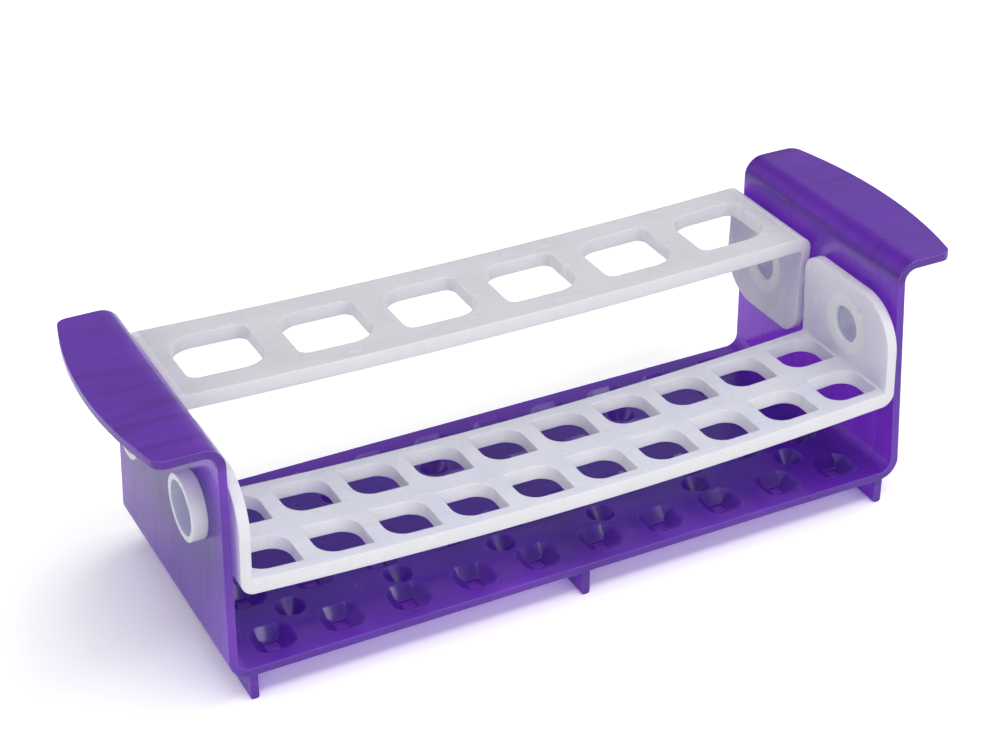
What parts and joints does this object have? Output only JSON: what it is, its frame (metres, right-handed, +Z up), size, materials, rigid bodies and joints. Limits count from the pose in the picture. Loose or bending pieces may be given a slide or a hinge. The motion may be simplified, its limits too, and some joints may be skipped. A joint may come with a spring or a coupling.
{
  "type": "test tube rack",
  "caption": "Flip-tray rack for laboratory tubes: a translucent base with end handles and a dimpled floor, carrying pierced trays that turn over on hollow bosses.",
  "frame": {"origin": "middle of the floor, on the bench", "axes": "+X along the rack to the right end, +Y from front to back, +Z up"},
  "size_m": [0.3112, 0.107, 0.0976],
  "materials": {
    "purple_pp": "satin translucent purple",
    "natural_pp": "satin milky translucent"
  },
  "bodies": {
    "base": {"base": "purple_pp"},
    "small_tray": {"small_tray": "natural_pp"},
    "large_tray": {"large_tray": "natural_pp"}
  },
  "joints": [
    {"name": "small_tray_flip", "type": "hinge", "parent": "base", "child": "small_tray", "pos_m": [0, -0.02745, 0.0638], "axis": [-1, 0, 0], "range_deg": [0, 180]},
    {"name": "large_tray_flip", "type": "hinge", "parent": "base", "child": "large_tray", "pos_m": [0, 0.02745, 0.0638], "axis": [-1, 0, 0], "range_deg": [0, 180]}
  ]
}
